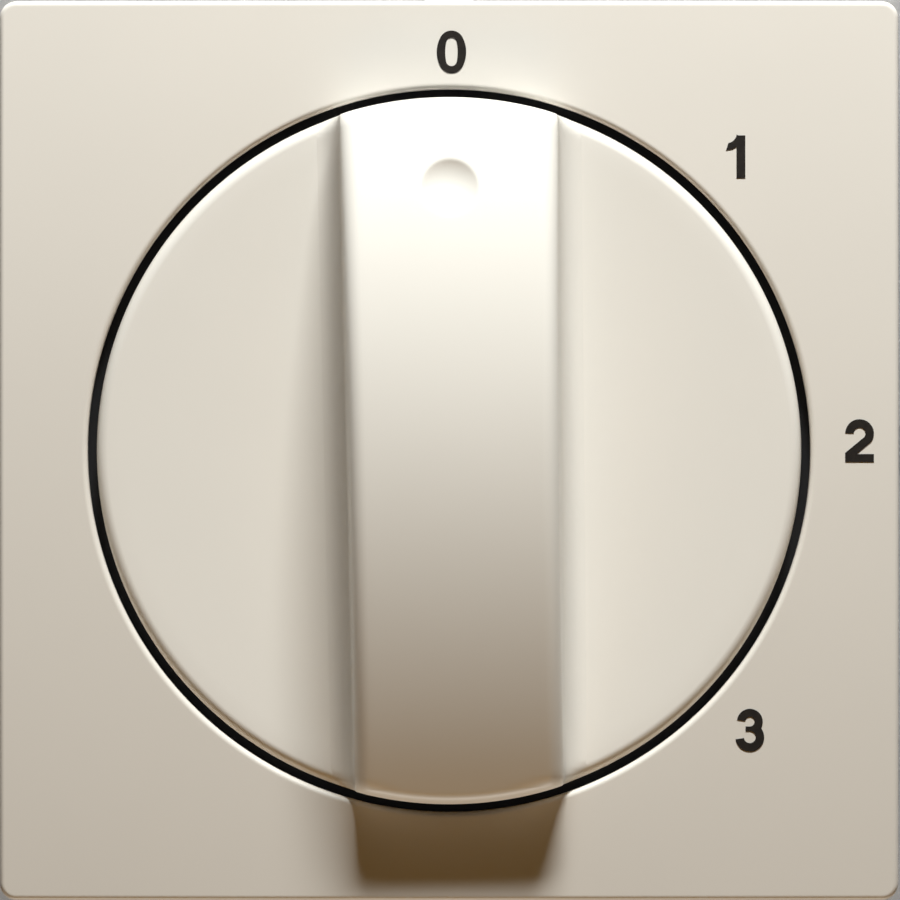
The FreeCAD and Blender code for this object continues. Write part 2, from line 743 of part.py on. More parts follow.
def make_fixed_contact(stage):
    """Fixed contact of one stage: button, blade, run round the chamber and terminal strip."""
    z = track_z[stage - 1]
    low = z - blade_h / 2
    high = z + blade_h / 2
    sx, sy = {1: (1, 1), 2: (-1, 1), 3: (-1, -1)}[stage]
    face_x = blade_x - button_t - button_gap - button_t
    y_run = cavity_half_y - 1.15
    blade = box(face_x - strip_t, face_x, contact_y - 1.6, y_run + strip_t, low, high)
    button = Part.makeCylinder(button_r, button_t, vec(face_x, contact_y, z), X)
    pieces = [button]
    x = sx * terminal_x
    if stage == 1:
        pieces.append(box(x - 1.5, face_x, y_run, y_run + strip_t, low, high))
    else:
        run_end = x - 1.5 if stage == 2 else -cavity_half_x + 0.3
        pieces.append(box(run_end, face_x, y_run, y_run + strip_t, low, high))
    if stage == 3:
        side_x = -cavity_half_x + 0.3
        pieces.append(box(side_x, side_x + strip_t, -y_run - strip_t, y_run + strip_t, low, high))
        pieces.append(box(side_x, x, -y_run - strip_t, -y_run, low, high))
    pieces.append(riser(x, sy * y_run, sy, z))
    pieces.append(terminal_strip(sx, sy))
    return fused(blade, *pieces)


def make_common_bar():
    """Feeds the three contact springs, which are riveted to its post."""
    x = terminal_x
    y_run = -(cavity_half_y - 1.15)
    post_x = blade_x + blade_t
    low = track_z[-1] - blade_h / 2 - 0.3
    high = track_z[0] + blade_h / 2 + 0.3
    post = box(post_x, post_x + strip_t, y_run - strip_t, -6.6, low, high)
    run = box(x - 1.5, post_x + strip_t, y_run - strip_t, y_run, low, high)
    return fused(post, run, riser(x, y_run, -1, link_z), terminal_strip(1, -1))


# ---- terminals -----------------------------------------------------------------------
def make_terminal_screw(sx, sy):
    x = sx * terminal_x
    head_y = sy * terminal_head_y
    head_end = sy * (terminal_head_y + terminal_head_t)
    head = rod_y(terminal_head_r, head_y, head_end, x, screw_z)
    tip_y = sy * (strip_inner_y + strip_t + 0.06)
    shank = rod_y(terminal_screw_r, tip_y, head_y + sy * 0.5, x, screw_z)
    slot = box(x - 0.4, x + 0.4, head_end - sy * 0.9, head_end + sy, screw_z - 3, screw_z + 3)
    cross = box(x - 1.3, x + 1.3, head_end - sy * 0.9, head_end + sy, screw_z - 0.4, screw_z + 0.4)
    return fused(head, shank).cut(slot).cut(cross)


def make_clamp_cage(sx, sy):
    x = sx * terminal_x
    half = cage_half_x
    w = cage_wall
    y0 = sy * cage_inner_y
    y1 = sy * (cage_inner_y + cage_height)
    low = screw_z - cage_half_z
    high = screw_z + cage_half_z
    outer = box(x - half, x + half, y0, y1, low, high)
    window = box(x - half + w - 0.2, x + half - w + 0.2, y0 + sy * w, y1 - sy * w, low - 1, high + 1)
    hole = rod_y(terminal_screw_r + running_gap, y1 - 2 * sy * w, y1 + sy, x, screw_z)
    return outer.cut(window).cut(hole)


# ---- assembly ------------------------------------------------------------------------
def build_nodes():
    nodes = {
        "centre_plate": make_centre_plate(),
        "dial_numerals": make_dial_numerals(),
        "knob": make_knob(),
        "knob_clip": make_knob_clip(),
        "knob_retainer": make_knob_retainer(),
        "support_ring": make_support_ring(),
        "ring_screws": make_ring_screws(),
        "base": make_base(),
        "base_cover": make_base_cover(),
        "spindle": make_spindle(),
        "spindle_circlip": make_spindle_circlip(),
        "spindle_washer": make_spindle_washer(),
        "cam_drum": make_cam_drum(),
        "common_bar": make_common_bar(),
        "detent_spring_right": make_detent_spring(),
        "detent_spring_left": mirror_x(make_detent_spring()),
    }
    for stage, z in enumerate(track_z, start=1):
        nodes["contact_spring_%d" % stage] = make_contact_spring(z)
        nodes["fixed_contact_%d" % stage] = make_fixed_contact(stage)
    for number, sx, sy in terminal_places():
        nodes["terminal_screw_%d" % number] = make_terminal_screw(sx, sy)
        nodes["clamp_cage_%d" % number] = make_clamp_cage(sx, sy)
    for piece, make in (("pin", make_claw_pin), ("screw", make_claw_screw), ("nut", make_claw_nut)):
        nodes["claw_%s_right" % piece] = make()
        nodes["claw_%s_left" % piece] = mirror_x(make())
    nodes["claw_right"] = make_claw()
    nodes["claw_left"] = mirror_x(make_claw())
    return nodes


def main():
    os.makedirs("parts", exist_ok=True)
    for name, shape in build_nodes().items():
        shape.rotate(vec(0, 0, 0), X, 90)
        shape.exportStep("parts/%s.step" % name)
        print(name, len(shape.Solids), shape.isValid(), round(shape.Volume, 2))


main()
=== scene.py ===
import json
import math

import bmesh
import bpy
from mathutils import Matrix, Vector


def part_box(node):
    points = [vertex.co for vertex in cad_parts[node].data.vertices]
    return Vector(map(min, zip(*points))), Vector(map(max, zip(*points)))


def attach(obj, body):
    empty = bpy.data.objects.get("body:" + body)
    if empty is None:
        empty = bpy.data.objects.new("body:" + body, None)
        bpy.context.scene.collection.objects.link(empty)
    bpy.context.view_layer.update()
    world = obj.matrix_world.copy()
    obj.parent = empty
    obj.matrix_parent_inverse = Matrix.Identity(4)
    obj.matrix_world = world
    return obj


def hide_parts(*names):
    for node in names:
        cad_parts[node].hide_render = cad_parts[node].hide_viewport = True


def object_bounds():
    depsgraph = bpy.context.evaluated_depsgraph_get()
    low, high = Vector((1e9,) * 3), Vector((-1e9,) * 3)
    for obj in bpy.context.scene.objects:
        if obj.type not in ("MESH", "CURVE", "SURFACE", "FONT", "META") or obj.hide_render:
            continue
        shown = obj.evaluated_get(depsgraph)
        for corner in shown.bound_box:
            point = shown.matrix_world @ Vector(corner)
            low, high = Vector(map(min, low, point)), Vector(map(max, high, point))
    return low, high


# Looks of the rotary step control.  Shapes are drawn on the bench, face up, in
# millimetres (x right, y to the top edge, z towards the user), and stand() puts them
# in the row frame, in metres.

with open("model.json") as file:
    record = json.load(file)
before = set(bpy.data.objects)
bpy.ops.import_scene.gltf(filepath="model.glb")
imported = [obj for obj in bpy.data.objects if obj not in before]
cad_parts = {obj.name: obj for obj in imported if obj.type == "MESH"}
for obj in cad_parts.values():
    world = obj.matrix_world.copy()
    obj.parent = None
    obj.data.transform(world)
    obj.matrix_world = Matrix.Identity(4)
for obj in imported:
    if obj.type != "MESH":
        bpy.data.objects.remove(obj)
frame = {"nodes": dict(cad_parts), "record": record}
cad_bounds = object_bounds()

MM = 0.001


def stand(x, y, z):
    """A bench point, in millimetres, as a point of the row frame, in metres."""
    return Vector((x * MM, -z * MM, y * MM))


# ---- sizes taken from the frame ---------------------------------------------------------
plate_low, plate_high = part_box("centre_plate")
knob_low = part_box("knob")[0]

plate_half = (plate_high.x - plate_low.x) / 2 / MM
face_z = -plate_low.y / MM
crest_z = -knob_low.y / MM

# ---- sizes that the frame's boxes don't give, in millimetres ------------------------------
# centre plate: face, skirt and the opening for the knob
plate_back_z = 2.4
plate_wall = 1.8
plate_corner_r = 1.0
plate_edge_r = 0.3
plate_back_r = 0.2
plate_bevel = 0.15
plate_crown = 0.0008  # fall of the face for each square millimetre past the opening
crown_depth = 1.2  # the walls follow the crown down to this depth
hole_r = 22.1
hole_edge_r = 0.35
edge_strip = 0.05  # narrow faces beside a rounded edge, which keep its shading even
skirt_strip = 0.1
face_shares = (0.15, 0.3, 0.45, 0.6, 0.75, 0.9)  # places of the loops across the face
least_corner_r = 0.02

# collar behind the opening
collar_outer_r = 25.2
collar_inner_r = 23.6
collar_back_z = 5.0

# four snap legs
leg_x = 17.5
leg_width = 4.0
leg_inner_y = 20.4
leg_t = 1.4
leg_end_z = -2.0
leg_bevel = 0.15
leg_toe = 0.25
hook_reach = 0.8
hook_top_z = -0.15
hook_t = 0.35
hook_taper = 0.1

# knob: disc, wall and the flange that holds it behind the opening
knob_r = 21.55
knob_rim_r = 0.7
knob_back_z = 6.4
knob_wall = 1.6
knob_skew = math.radians(0.9)
disc_t = 2.0
disc_dish = 0.45
disc_rings = 12
flange_r = 23.2
flange_t = 1.2

# toggle bar across the disc
bar_half_top = 6.45
bar_half_bottom = 6.15
bar_draft = math.radians(2.5)
bar_flare_r = 1.5
bar_offset = 0.3
bar_edge_r = 1.0
bar_edge_share = 0.45  # of its height, where that is less than bar_edge_r
bar_overrun = 0.9  # how far its surface bends down past the disc's rim
bar_sink = 0.02  # how far its foot lies under the disc's face
arch_r = 48.0

# pointer dimple
dimple_y = 16.0
dimple_r = 1.7
dimple_depth = 0.5
dimple_soft = 0.049  # rounding where it meets the toggle's back
dimple_fade = 1.5  # its rounding ends at this many of its radii

# spacing of the toggle's cross-sections: over the rim, along the bar, over the dimple
rim_zone = 1.0
rim_step = 0.1
bar_step = 0.4
dimple_step = 0.07
dimple_margin = 0.4
side_columns = 10
dimple_columns = 50

# gap between knob and plate, whose deep walls carry painted shade
gap_shade_depth = 1.1  # the gap's walls are painted with shade, as near-black plastic, below this depth
gap_margin = 0.05

# numerals: their places round the knob, their size and the print's thickness
dial_r = 25.1
zero_r = 24.37
zero_x = 0.15
print_step = math.radians(44.3)
numeral_h = 2.62
numeral_w = 1.8
stroke = 0.52
ink_t = 0.035


# ---- mesh helpers -----------------------------------------------------------------------
def make_object(name, bm, body, slot, smooth_deg=35):
    """Turns a bench mesh into a piece that stands in the row frame and rides on a body."""
    for v in bm.verts:
        v.co = stand(*v.co)
    bmesh.ops.recalc_face_normals(bm, faces=bm.faces)
    mesh = bpy.data.meshes.new(name)
    bm.to_mesh(mesh)
    bm.free()
    piece = bpy.data.objects.new(name, mesh)
    bpy.context.scene.collection.objects.link(piece)
    mesh.shade_smooth()
    mesh.set_sharp_from_angle(angle=math.radians(smooth_deg))
    mesh.materials.append(MATERIALS[slot])
    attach(piece, body)
    return piece


def bridge_rows(bm, rows, closed):
    """Quads between rows of vertices, or triangles where a row repeats a vertex; closed
    rows join their ends."""
    for lower, upper in zip(rows, rows[1:]):
        count = len(lower)
        last = count if closed else count - 1
        for i in range(last):
            j = (i + 1) % count
            corners = []
            for v in (lower[i], lower[j], upper[j], upper[i]):
                if v not in corners:
                    corners.append(v)
            if len(corners) > 2:
                bm.faces.new(corners)


def arc_points(cx, cy, r, start, end, count):
    """Points along an arc, both ends included."""
    step = (end - start) / (count - 1)
    angles = [start + i * step for i in range(count)]
    return [(cx + r * math.cos(a), cy + r * math.sin(a)) for a in angles]


def add_lathe(bm, profile, segments=360):
    """Solid turned about the knob's axis from (r, z) points; it closes where r is 0."""
    angles = [2 * math.pi * i / segments for i in range(segments)]
    rows = []
    for r, z in profile:
        if r == 0:
            rows.append([bm.verts.new((0, 0, z))] * segments)
        else:
            rows.append([bm.verts.new((r * math.cos(a), r * math.sin(a), z)) for a in angles])
    bridge_rows(bm, rows, closed=True)


def crown_drop(x, y):
    """How far the plate's slightly crowned face lies below its height at the opening."""
    return plate_crown * max(x * x + y * y - hole_r ** 2, 0)


def crown_face(bm, lowest_z):
    """Lets the vertices above a height follow the crown of the plate's face."""
    for v in bm.verts:
        if v.co.z > lowest_z:
            v.co.z -= crown_drop(v.co.x, v.co.y)


def paint_gap_shade(piece, r_from, r_to):
    """Paints shade deep in the gap round the knob: walls below the shade depth get the
    near-black second material, which stands in for the gap's shadow.
    """
    piece.data.materials.append(MATERIALS["base_plastic"])
    for face in piece.data.polygons:
        centre = face.center / MM
        in_gap = r_from < math.hypot(centre.x, centre.z) < r_to
        if in_gap and -centre.y < face_z - gap_shade_depth:
            face.material_index = 1


# ---- materials --------------------------------------------------------------------------
def new_material(name):
    """A principled material, with what its texture nodes are made and placed with."""
    material = bpy.data.materials.new(name)
    material.use_nodes = True
    nodes = material.node_tree.nodes
    coords = nodes.new("ShaderNodeTexCoord").outputs["Object"]
    return material, nodes, material.node_tree.links, nodes["Principled BSDF"], coords


def noise(nodes, links, coords, scale, detail=3.0, rough=0.5):
    node = nodes.new("ShaderNodeTexNoise")
    node.inputs["Scale"].default_value = scale
    node.inputs["Detail"].default_value = detail
    node.inputs["Roughness"].default_value = rough
    links.new(coords, node.inputs["Vector"])
    return node.outputs["Fac"]


def ramp(nodes, links, source, stops):
    """Colours along a source's range, from (place, colour) stops."""
    node = nodes.new("ShaderNodeValToRGB")
    links.new(source, node.inputs["Fac"])
    for point, (place, colour) in zip(node.color_ramp.elements, stops):
        point.position = place
        point.color = (*colour, 1)
    return node.outputs["Color"]


def vary_roughness(nodes, links, shader, source, lowest, highest):
    node = nodes.new("ShaderNodeMapRange")
    node.inputs["To Min"].default_value = lowest
    node.inputs["To Max"].default_value = highest
    links.new(source, node.inputs["Value"])
    links.new(node.outputs["Result"], shader.inputs["Roughness"])


def add_bump(nodes, links, shader, heights):
    """Chain of bumps; each is (height socket, strength, distance in metres)."""
    normal = None
    for height, strength, distance in heights:
        node = nodes.new("ShaderNodeBump")
        node.inputs["Strength"].default_value = strength
        node.inputs["Distance"].default_value = distance
        links.new(height, node.inputs["Height"])
        if normal is not None:
            links.new(normal, node.inputs["Normal"])
        normal = node.outputs["Normal"]
    links.new(normal, shader.inputs["Normal"])


def moulded_plastic(name, colour, shift, roughness, grain=0.0000025):
    """Moulded thermoplastic: faint tone drift, fine eroded grain and uneven polish."""
    material, nodes, links, shader, coords = new_material(name)
    drift = noise(nodes, links, coords, scale=55)
    low = tuple(c * (1 - shift) for c in colour)
    high = tuple(min(c * (1 + shift), 1) for c in colour)
    tone = ramp(nodes, links, drift, [(0.3, low), (0.7, high)])
    links.new(tone, shader.inputs["Base Color"])
    polish = noise(nodes, links, coords, scale=900, detail=4, rough=0.6)
    vary_roughness(nodes, links, shader, polish, roughness - 0.03, roughness + 0.03)
    fine = noise(nodes, links, coords, scale=5200, detail=2)
    wave = noise(nodes, links, coords, scale=120, detail=2)
    add_bump(nodes, links, shader, [(wave, 0.15, 0.00004), (fine, 0.35, grain)])
    return material


def plated_metal(name, colour, roughness, stretch=(1, 1, 12)):
    """Rolled or turned metal: fine drawn scratches, dull and bright patches."""
    material, nodes, links, shader, coords = new_material(name)
    mapping = nodes.new("ShaderNodeMapping")
    mapping.inputs["Scale"].default_value = stretch
    links.new(coords, mapping.inputs["Vector"])
    drawn = noise(nodes, links, mapping.outputs["Vector"], scale=700, detail=4, rough=0.6)
    cloud = noise(nodes, links, coords, scale=420, detail=4, rough=0.6)
    low = tuple(c * 0.96 for c in colour)
    high = tuple(min(c * 1.03, 1) for c in colour)
    tone = ramp(nodes, links, cloud, [(0.35, low), (0.65, high)])
    links.new(tone, shader.inputs["Base Color"])
    vary_roughness(nodes, links, shader, cloud, roughness - 0.03, roughness + 0.04)
    shader.inputs["Metallic"].default_value = 1.0
    add_bump(nodes, links, shader, [(drawn, 0.25, 0.00001), (cloud, 0.06, 0.00001)])
    return material


def printing_ink(name):
    """Pad-printed ink: near black, slightly uneven film."""
    material, nodes, links, shader, coords = new_material(name)
    film = noise(nodes, links, coords, scale=2600, rough=0.6)
    thick = (0.006, 0.004, 0.003)
    thin = (0.016, 0.012, 0.009)
    tone = ramp(nodes, links, film, [(0.3, thick), (0.75, thin)])
    links.new(tone, shader.inputs["Base Color"])
    shader.inputs["Roughness"].default_value = 0.55
    shader.inputs["Specular IOR Level"].default_value = 0.3
    add_bump(nodes, links, shader, [(film, 0.2, 0.000004)])
    return material


# slot: colour, tone drift, roughness, and the depth of a coarser grain in metres
PLASTICS = {
    "cream_plastic": ((0.81, 0.775, 0.72), 0.012, 0.40),
    "knob_plastic": ((0.865, 0.84, 0.79), 0.012, 0.36),
    "retainer_plastic": ((0.50, 0.49, 0.46), 0.03, 0.5),
    "base_plastic": ((0.030, 0.030, 0.033), 0.12, 0.5, 0.000006),
    "cover_plastic": ((0.30, 0.30, 0.29), 0.05, 0.5, 0.000005),
    "cam_plastic": ((0.72, 0.68, 0.58), 0.03, 0.42),
}
# slot: colour, roughness, and how much finer a turned part's scratches are along x, y, z
METALS = {
    "zinc_steel": ((0.82, 0.83, 0.84), 0.40),
    "spring_steel": ((0.60, 0.60, 0.61), 0.26),
    "turned_steel": ((0.68, 0.68, 0.69), 0.30, (1, 12, 1)),
    "brass_strip": ((0.78, 0.57, 0.27), 0.32),
    "bronze_blade": ((0.72, 0.45, 0.25), 0.30),
}
MATERIALS = {name: moulded_plastic(name, *look) for name, look in PLASTICS.items()}
MATERIALS.update({name: plated_metal(name, *look) for name, look in METALS.items()})
MATERIALS["printing_ink"] = printing_ink("printing_ink")


# ---- centre plate -----------------------------------------------------------------------
def square_loop(half, corner_r, side_steps=72, corner_steps=8):
    """Rounded square as (x, y) points at even angles along its sides."""
    points = []
    flat = half - corner_r
    lean = math.atan2(flat, half)
    for quarter in range(4):
        turn = quarter * math.pi / 2
        local = []
        for i in range(side_steps):
            a = -lean + 2 * lean * i / side_steps
            local.append((half, half * math.tan(a)))
        local += arc_points(flat, flat, corner_r, 0, math.pi / 2, corner_steps + 1)[:-1]
        c = math.cos(turn)
        s = math.sin(turn)
        points += [(x * c - y * s, x * s + y * c) for x, y in local]
    return points


def plate_loop(inset=0.0):
    """The plate's outline, or one set in from it, with a point for each of its points."""
    return square_loop(plate_half - inset, max(plate_corner_r - inset, least_corner_r))


def round_loop(r, pattern):
    """Circle with one point at the same angle as each point of another loop."""
    return [(r * x / math.hypot(x, y), r * y / math.hypot(x, y)) for x, y in pattern]


def add_leg(bm, sx, sy):
    """Snap leg: a bevelled strip with a hook that catches behind the support ring."""
    outer_y = leg_inner_y + leg_t
    hook_y = outer_y + hook_reach
    top_z = face_z - plate_wall
    outline = [
        (leg_inner_y, top_z), (outer_y, top_z), (outer_y, hook_top_z),
        (hook_y, hook_top_z), (hook_y - hook_taper, hook_top_z - hook_t),
        (outer_y - hook_taper, leg_end_z), (leg_inner_y + leg_bevel, leg_end_z),
        (leg_inner_y, leg_end_z + leg_toe),
    ]
    half_w = leg_width / 2
    x_steps = [(-half_w, leg_bevel), (-half_w + leg_bevel, 0),
               (half_w - leg_bevel, 0), (half_w, leg_bevel)]
    mid_y = leg_inner_y + leg_t / 2
    rows = []
    for dx, shrink in x_steps:
        pull = 1 - shrink / (leg_t / 2)
        row = []
        for y, z in outline:
            y_in = mid_y + (y - mid_y) * pull if y <= outer_y else y - shrink
            row.append(bm.verts.new((sx * leg_x + dx, sy * y_in, z)))
        rows.append(row)
    bridge_rows(bm, rows, closed=True)
    bm.faces.new(rows[0])
    bm.faces.new(rows[-1])


def make_plate():
    bm = bmesh.new()
    outline = plate_loop()
    lip_z = face_z - plate_wall
    loops = []

    def add(points, z):
        loops.append([bm.verts.new((x, y, z)) for x, y in points])

    # from the collar's pocket up through the opening, over its rounded edge
    add(round_loop(collar_inner_r, outline), lip_z)
    add(round_loop(hole_r, outline), lip_z)
    # this loop is where the gap's painted shade begins
    add(round_loop(hole_r, outline), face_z - gap_shade_depth)
    for r, z in arc_points(hole_r + hole_edge_r, face_z - hole_edge_r, hole_edge_r,
                           math.pi, math.pi / 2, 9):
        add(round_loop(r, outline), z)
    # across the face, from round to square
    rim = round_loop(hole_r + hole_edge_r + edge_strip, outline)
    flat_edge = plate_loop(plate_edge_r + edge_strip)
    add(rim, face_z)
    for share in face_shares:
        add([(a + (c - a) * share, b + (d - b) * share)
             for (a, b), (c, d) in zip(rim, flat_edge)], face_z)
    add(flat_edge, face_z)
    # over the outer edge and down the skirt
    for inset, drop in arc_points(plate_edge_r, plate_edge_r, plate_edge_r,
                                  math.pi * 1.5, math.pi, 9):
        add(plate_loop(inset), face_z - drop)
    add(outline, face_z - plate_edge_r - skirt_strip)
    add(outline, plate_back_z + plate_back_r + skirt_strip)
    for inset, rise in arc_points(plate_back_r, plate_back_r, plate_back_r,
                                  math.pi, math.pi * 1.5, 5):
        add(plate_loop(inset), plate_back_z + rise)
    add(plate_loop(plate_wall - plate_bevel), plate_back_z)
    add(plate_loop(plate_wall), plate_back_z + plate_bevel)
    add(plate_loop(plate_wall), lip_z)
    # back of the face and the collar
    add(round_loop(collar_outer_r, outline), lip_z)
    add(round_loop(collar_outer_r, outline), collar_back_z)
    add(round_loop(collar_inner_r, outline), collar_back_z)
    bridge_rows(bm, loops + loops[:1], closed=True)
    for sx in (-1, 1):
        for sy in (-1, 1):
            add_leg(bm, sx, sy)
    crown_face(bm, face_z - crown_depth)
    piece = make_object("plate_shell", bm, "housing", "cream_plastic")
    # painted shade: the plate's walls deep in the gap are near-black plastic in place of their
    # shadow
    paint_gap_shade(piece, hole_r - gap_margin, collar_inner_r)
    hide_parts("centre_plate")


# ---- knob -------------------------------------------------------------------------------
def arch_height(y):
    """Height of the toggle's back over the disc face at a place along it."""
    return math.sqrt(arch_r ** 2 - y ** 2) - arch_r + crest_z - face_z


def toggle_half(y):
    """Half-width of the toggle's top edge, which tapers slightly to the lower end."""
    share = (y + knob_r) / (2 * knob_r)
    return bar_half_bottom + (bar_half_top - bar_half_bottom) * share


def toggle_profile(y, flare_steps=16, side_steps=5, edge_steps=9):
    """Right half of the cross-section at y, as (x, height) from the disc face to the flat
    of the toggle's back: flare, drafted side and rounded edge."""
    height = arch_height(y)
    slope = math.tan(bar_draft)
    foot_x = toggle_half(y) + (crest_z - face_z) * slope
    flare_x = foot_x + bar_flare_r * (1 - math.sin(bar_draft)) / math.cos(bar_draft)
    flare_top = bar_flare_r - bar_flare_r * math.sin(bar_draft)
    edge_r = min(bar_edge_r, height * bar_edge_share)
    centre_h = height - edge_r
    touch_h = centre_h + edge_r * math.sin(bar_draft)
    if touch_h >= flare_top:
        # the edge's circle touches the drafted side
        centre_x = foot_x - centre_h * slope - edge_r / math.cos(bar_draft)
        flare_end = math.pi + bar_draft
        side = [(foot_x - flare_top * slope, flare_top), (foot_x - touch_h * slope, touch_h)]
        edge_start = bar_draft
    else:
        # the bar is too low for a side: the edge's circle touches the flare's
        rise = centre_h - bar_flare_r
        across = math.sqrt((bar_flare_r + edge_r) ** 2 - rise ** 2)
        centre_x = flare_x - across
        flare_end = math.pi - math.atan2(rise, across)
        meet_x = flare_x + bar_flare_r * math.cos(flare_end)
        meet_h = bar_flare_r + bar_flare_r * math.sin(flare_end)
        side = [(meet_x, meet_h), (meet_x, meet_h)]
        edge_start = flare_end - math.pi
    points = arc_points(flare_x, bar_flare_r, bar_flare_r, 1.5 * math.pi, flare_end, flare_steps)
    (x0, h0), (x1, h1) = side
    for i in range(1, side_steps):
        share = i / side_steps
        points.append((x0 + (x1 - x0) * share, h0 + (h1 - h0) * share))
    return points + arc_points(centre_x, centre_h, edge_r, edge_start, math.pi / 2, edge_steps)


def spaced(start, end, step):
    """Even places from start up to, and without, the end, at most a step apart."""
    count = max(int(math.ceil((end - start) / step)), 1)
    return [start + (end - start) * i / count for i in range(count)]


def wrap_rim(x, y, z):
    """Bends a point that lies past the rim's rounding down over the disc's edge."""
    rho = math.hypot(x, y)
    flat = knob_r - knob_rim_r
    if rho <= flat:
        return x, y, z
    over = rho - flat
    quarter = knob_rim_r * math.pi / 2
    if over < quarter:
        a = over / knob_rim_r
        r = flat + knob_rim_r * math.sin(a)
        drop = knob_rim_r * (1 - math.cos(a))
    else:
        r = knob_r
        drop = knob_rim_r + over - quarter
    return x * r / rho, y * r / rho, z - drop


def dimple_drop(x, y):
    """Depth of the pointer dimple at a place on the toggle's back: a shallow ball mark."""
    rho = math.hypot(x, y - dimple_y)
    if rho >= dimple_r * dimple_fade:
        return 0.0
    if rho >= dimple_r:
        cut = (dimple_r - rho) * dimple_depth * 2 / dimple_r
    else:
        ball = (dimple_r ** 2 + dimple_depth ** 2) / (2 * dimple_depth)
        cut = math.sqrt(ball ** 2 - rho ** 2) - (ball - dimple_depth)
    # soft maximum with the untouched surface
    return 0.5 * (cut + math.sqrt(cut ** 2 + dimple_soft ** 2))


def add_toggle(bm):
    """Toggle bar as one surface over the disc, with close rows and columns at the dimple."""
    reach = knob_r + bar_overrun
    rim_y = knob_r - rim_zone
    fine_low = dimple_y - dimple_r - dimple_margin
    fine_high = dimple_y + dimple_r + dimple_margin
    stations = spaced(-reach, -rim_y, rim_step) + spaced(-rim_y, fine_low, bar_step)
    stations += spaced(fine_low, fine_high, dimple_step) + spaced(fine_high, rim_y, bar_step)
    stations += spaced(rim_y, reach, rim_step) + [reach]
    span = dimple_r + dimple_margin
    rows = []
    for y in stations:
        right = toggle_profile(y)
        edge_x, top = right[-1]
        right += [(edge_x + (span - edge_x) * i / side_columns, top)
                  for i in range(1, side_columns)]
        right += [(span * (1 - i / dimple_columns), top) for i in range(dimple_columns)]
        left = [(-x, h) for x, h in reversed(right)]
        row = []
        for x, h in right + [(0.0, top)] + left:
            if h == top:
                h -= dimple_drop(x, y)
            lift = h if h > 1e-9 else -bar_sink
            row.append(bm.verts.new(wrap_rim(x + bar_offset, y, face_z + lift)))
        rows.append(row)
    bridge_rows(bm, rows, closed=False)


def make_knob():
    bm = bmesh.new()
    flange_z = knob_back_z + flange_t
    profile = [(knob_r * i / disc_rings, face_z) for i in range(disc_rings)]
    profile += arc_points(knob_r - knob_rim_r, face_z - knob_rim_r, knob_rim_r,
                          math.pi / 2, 0, 12)
    profile += [
        # the row at the shade depth is where the gap's painted shade begins
        (knob_r, face_z - gap_shade_depth), (knob_r, flange_z),
        (flange_r, flange_z), (flange_r, knob_back_z),
        (knob_r - knob_wall, knob_back_z), (knob_r - knob_wall, face_z - disc_t),
        (0, face_z - disc_t),
    ]
    add_lathe(bm, profile)
    add_toggle(bm)
    c = math.cos(knob_skew)
    s = math.sin(knob_skew)
    for v in bm.verts:
        x, y, z = v.co
        # the disc is slightly dished, and its toggle with it
        if z > flange_z + 0.1:
            z -= disc_dish * (1 - (x * x + y * y) / knob_r ** 2)
        v.co = (x * c - y * s, x * s + y * c, z)
    piece = make_object("knob_shell", bm, "selector", "knob_plastic", smooth_deg=40)
    # painted shade: the knob's wall and flange deep in the gap are near-black plastic in place
    # of their shadow
    paint_gap_shade(piece, knob_r - gap_margin, flange_r)
    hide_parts("knob")


# ---- dial numerals ----------------------------------------------------------------------
def order_faces(bm):
    """Puts the faces in the order of their vertices, which an extrusion doesn't keep to."""
    bm.verts.index_update()
    count = len(bm.verts)

    def rank(face):
        first, second, third = sorted(v.index for v in face.verts)[:3]
        return (first * count + second) * count + third

    bm.faces.sort(key=rank)


def add_print(bm, loops, turn_x, turn_y):
    """Thin print over an outline; the first loop is outside, any others are holes."""
    rings = [[bm.verts.new((x + turn_x, y + turn_y, face_z)) for x, y in loop] for loop in loops]
    edges = []
    for ring in rings:
        for v, following in zip(ring, ring[1:] + ring[:1]):
            edges.append(bm.edges.new((v, following)))
    filled = bmesh.ops.triangle_fill(bm, use_beauty=True, edges=edges)
    faces = [g for g in filled["geom"] if isinstance(g, bmesh.types.BMFace)]
    raised = bmesh.ops.extrude_face_region(bm, geom=faces)
    for g in raised["geom"]:
        if isinstance(g, bmesh.types.BMVert):
            g.co.z += ink_t


def oval_loop(half_w, half_h, end_r, steps=14):
    """Upright oval of four arcs that run into each other."""
    rise = half_h - end_r
    side_r = (half_w ** 2 + rise ** 2 - end_r ** 2) / (2 * (half_w - end_r))
    lean = math.asin(rise / (side_r - end_r))
    side_x = half_w - side_r
    points = arc_points(0, rise, end_r, lean, math.pi - lean, steps)
    points += arc_points(-side_x, 0, side_r, math.pi - lean, math.pi + lean, steps)[1:-1]
    points += arc_points(0, -rise, end_r, math.pi + lean, 2 * math.pi - lean, steps)
    points += arc_points(side_x, 0, side_r, -lean, lean, steps)[1:-1]
    return points


def loops_zero():
    half_w = numeral_w / 2
    half_h = numeral_h / 2
    outer_end_r = half_w - 0.14
    inner_end_r = half_w - stroke - 0.05
    thinner = 0.08  # the stroke is this much thinner at top and bottom
    outer = oval_loop(half_w, half_h, outer_end_r)
    inner = oval_loop(half_w - stroke, half_h - stroke + thinner, inner_end_r)
    return [outer, inner]


def loops_one():
    half_h = numeral_h / 2
    right = 0.58
    left = right - stroke - 0.02
    flag_x = -0.60
    flag_r = 0.62
    # hollow upper edge of the flag, then its tip and its lower edge
    flag = arc_points(left - 0.60, half_h + 0.14, flag_r, math.radians(-8), math.radians(-80), 7)
    flag += [(flag_x, half_h - 0.92), (left - 0.25, half_h - 0.86), (left, half_h - 0.72)]
    stem_top = [(right, -half_h), (right, half_h), (left + 0.10, half_h)]
    return [stem_top + flag + [(left, -half_h)]]


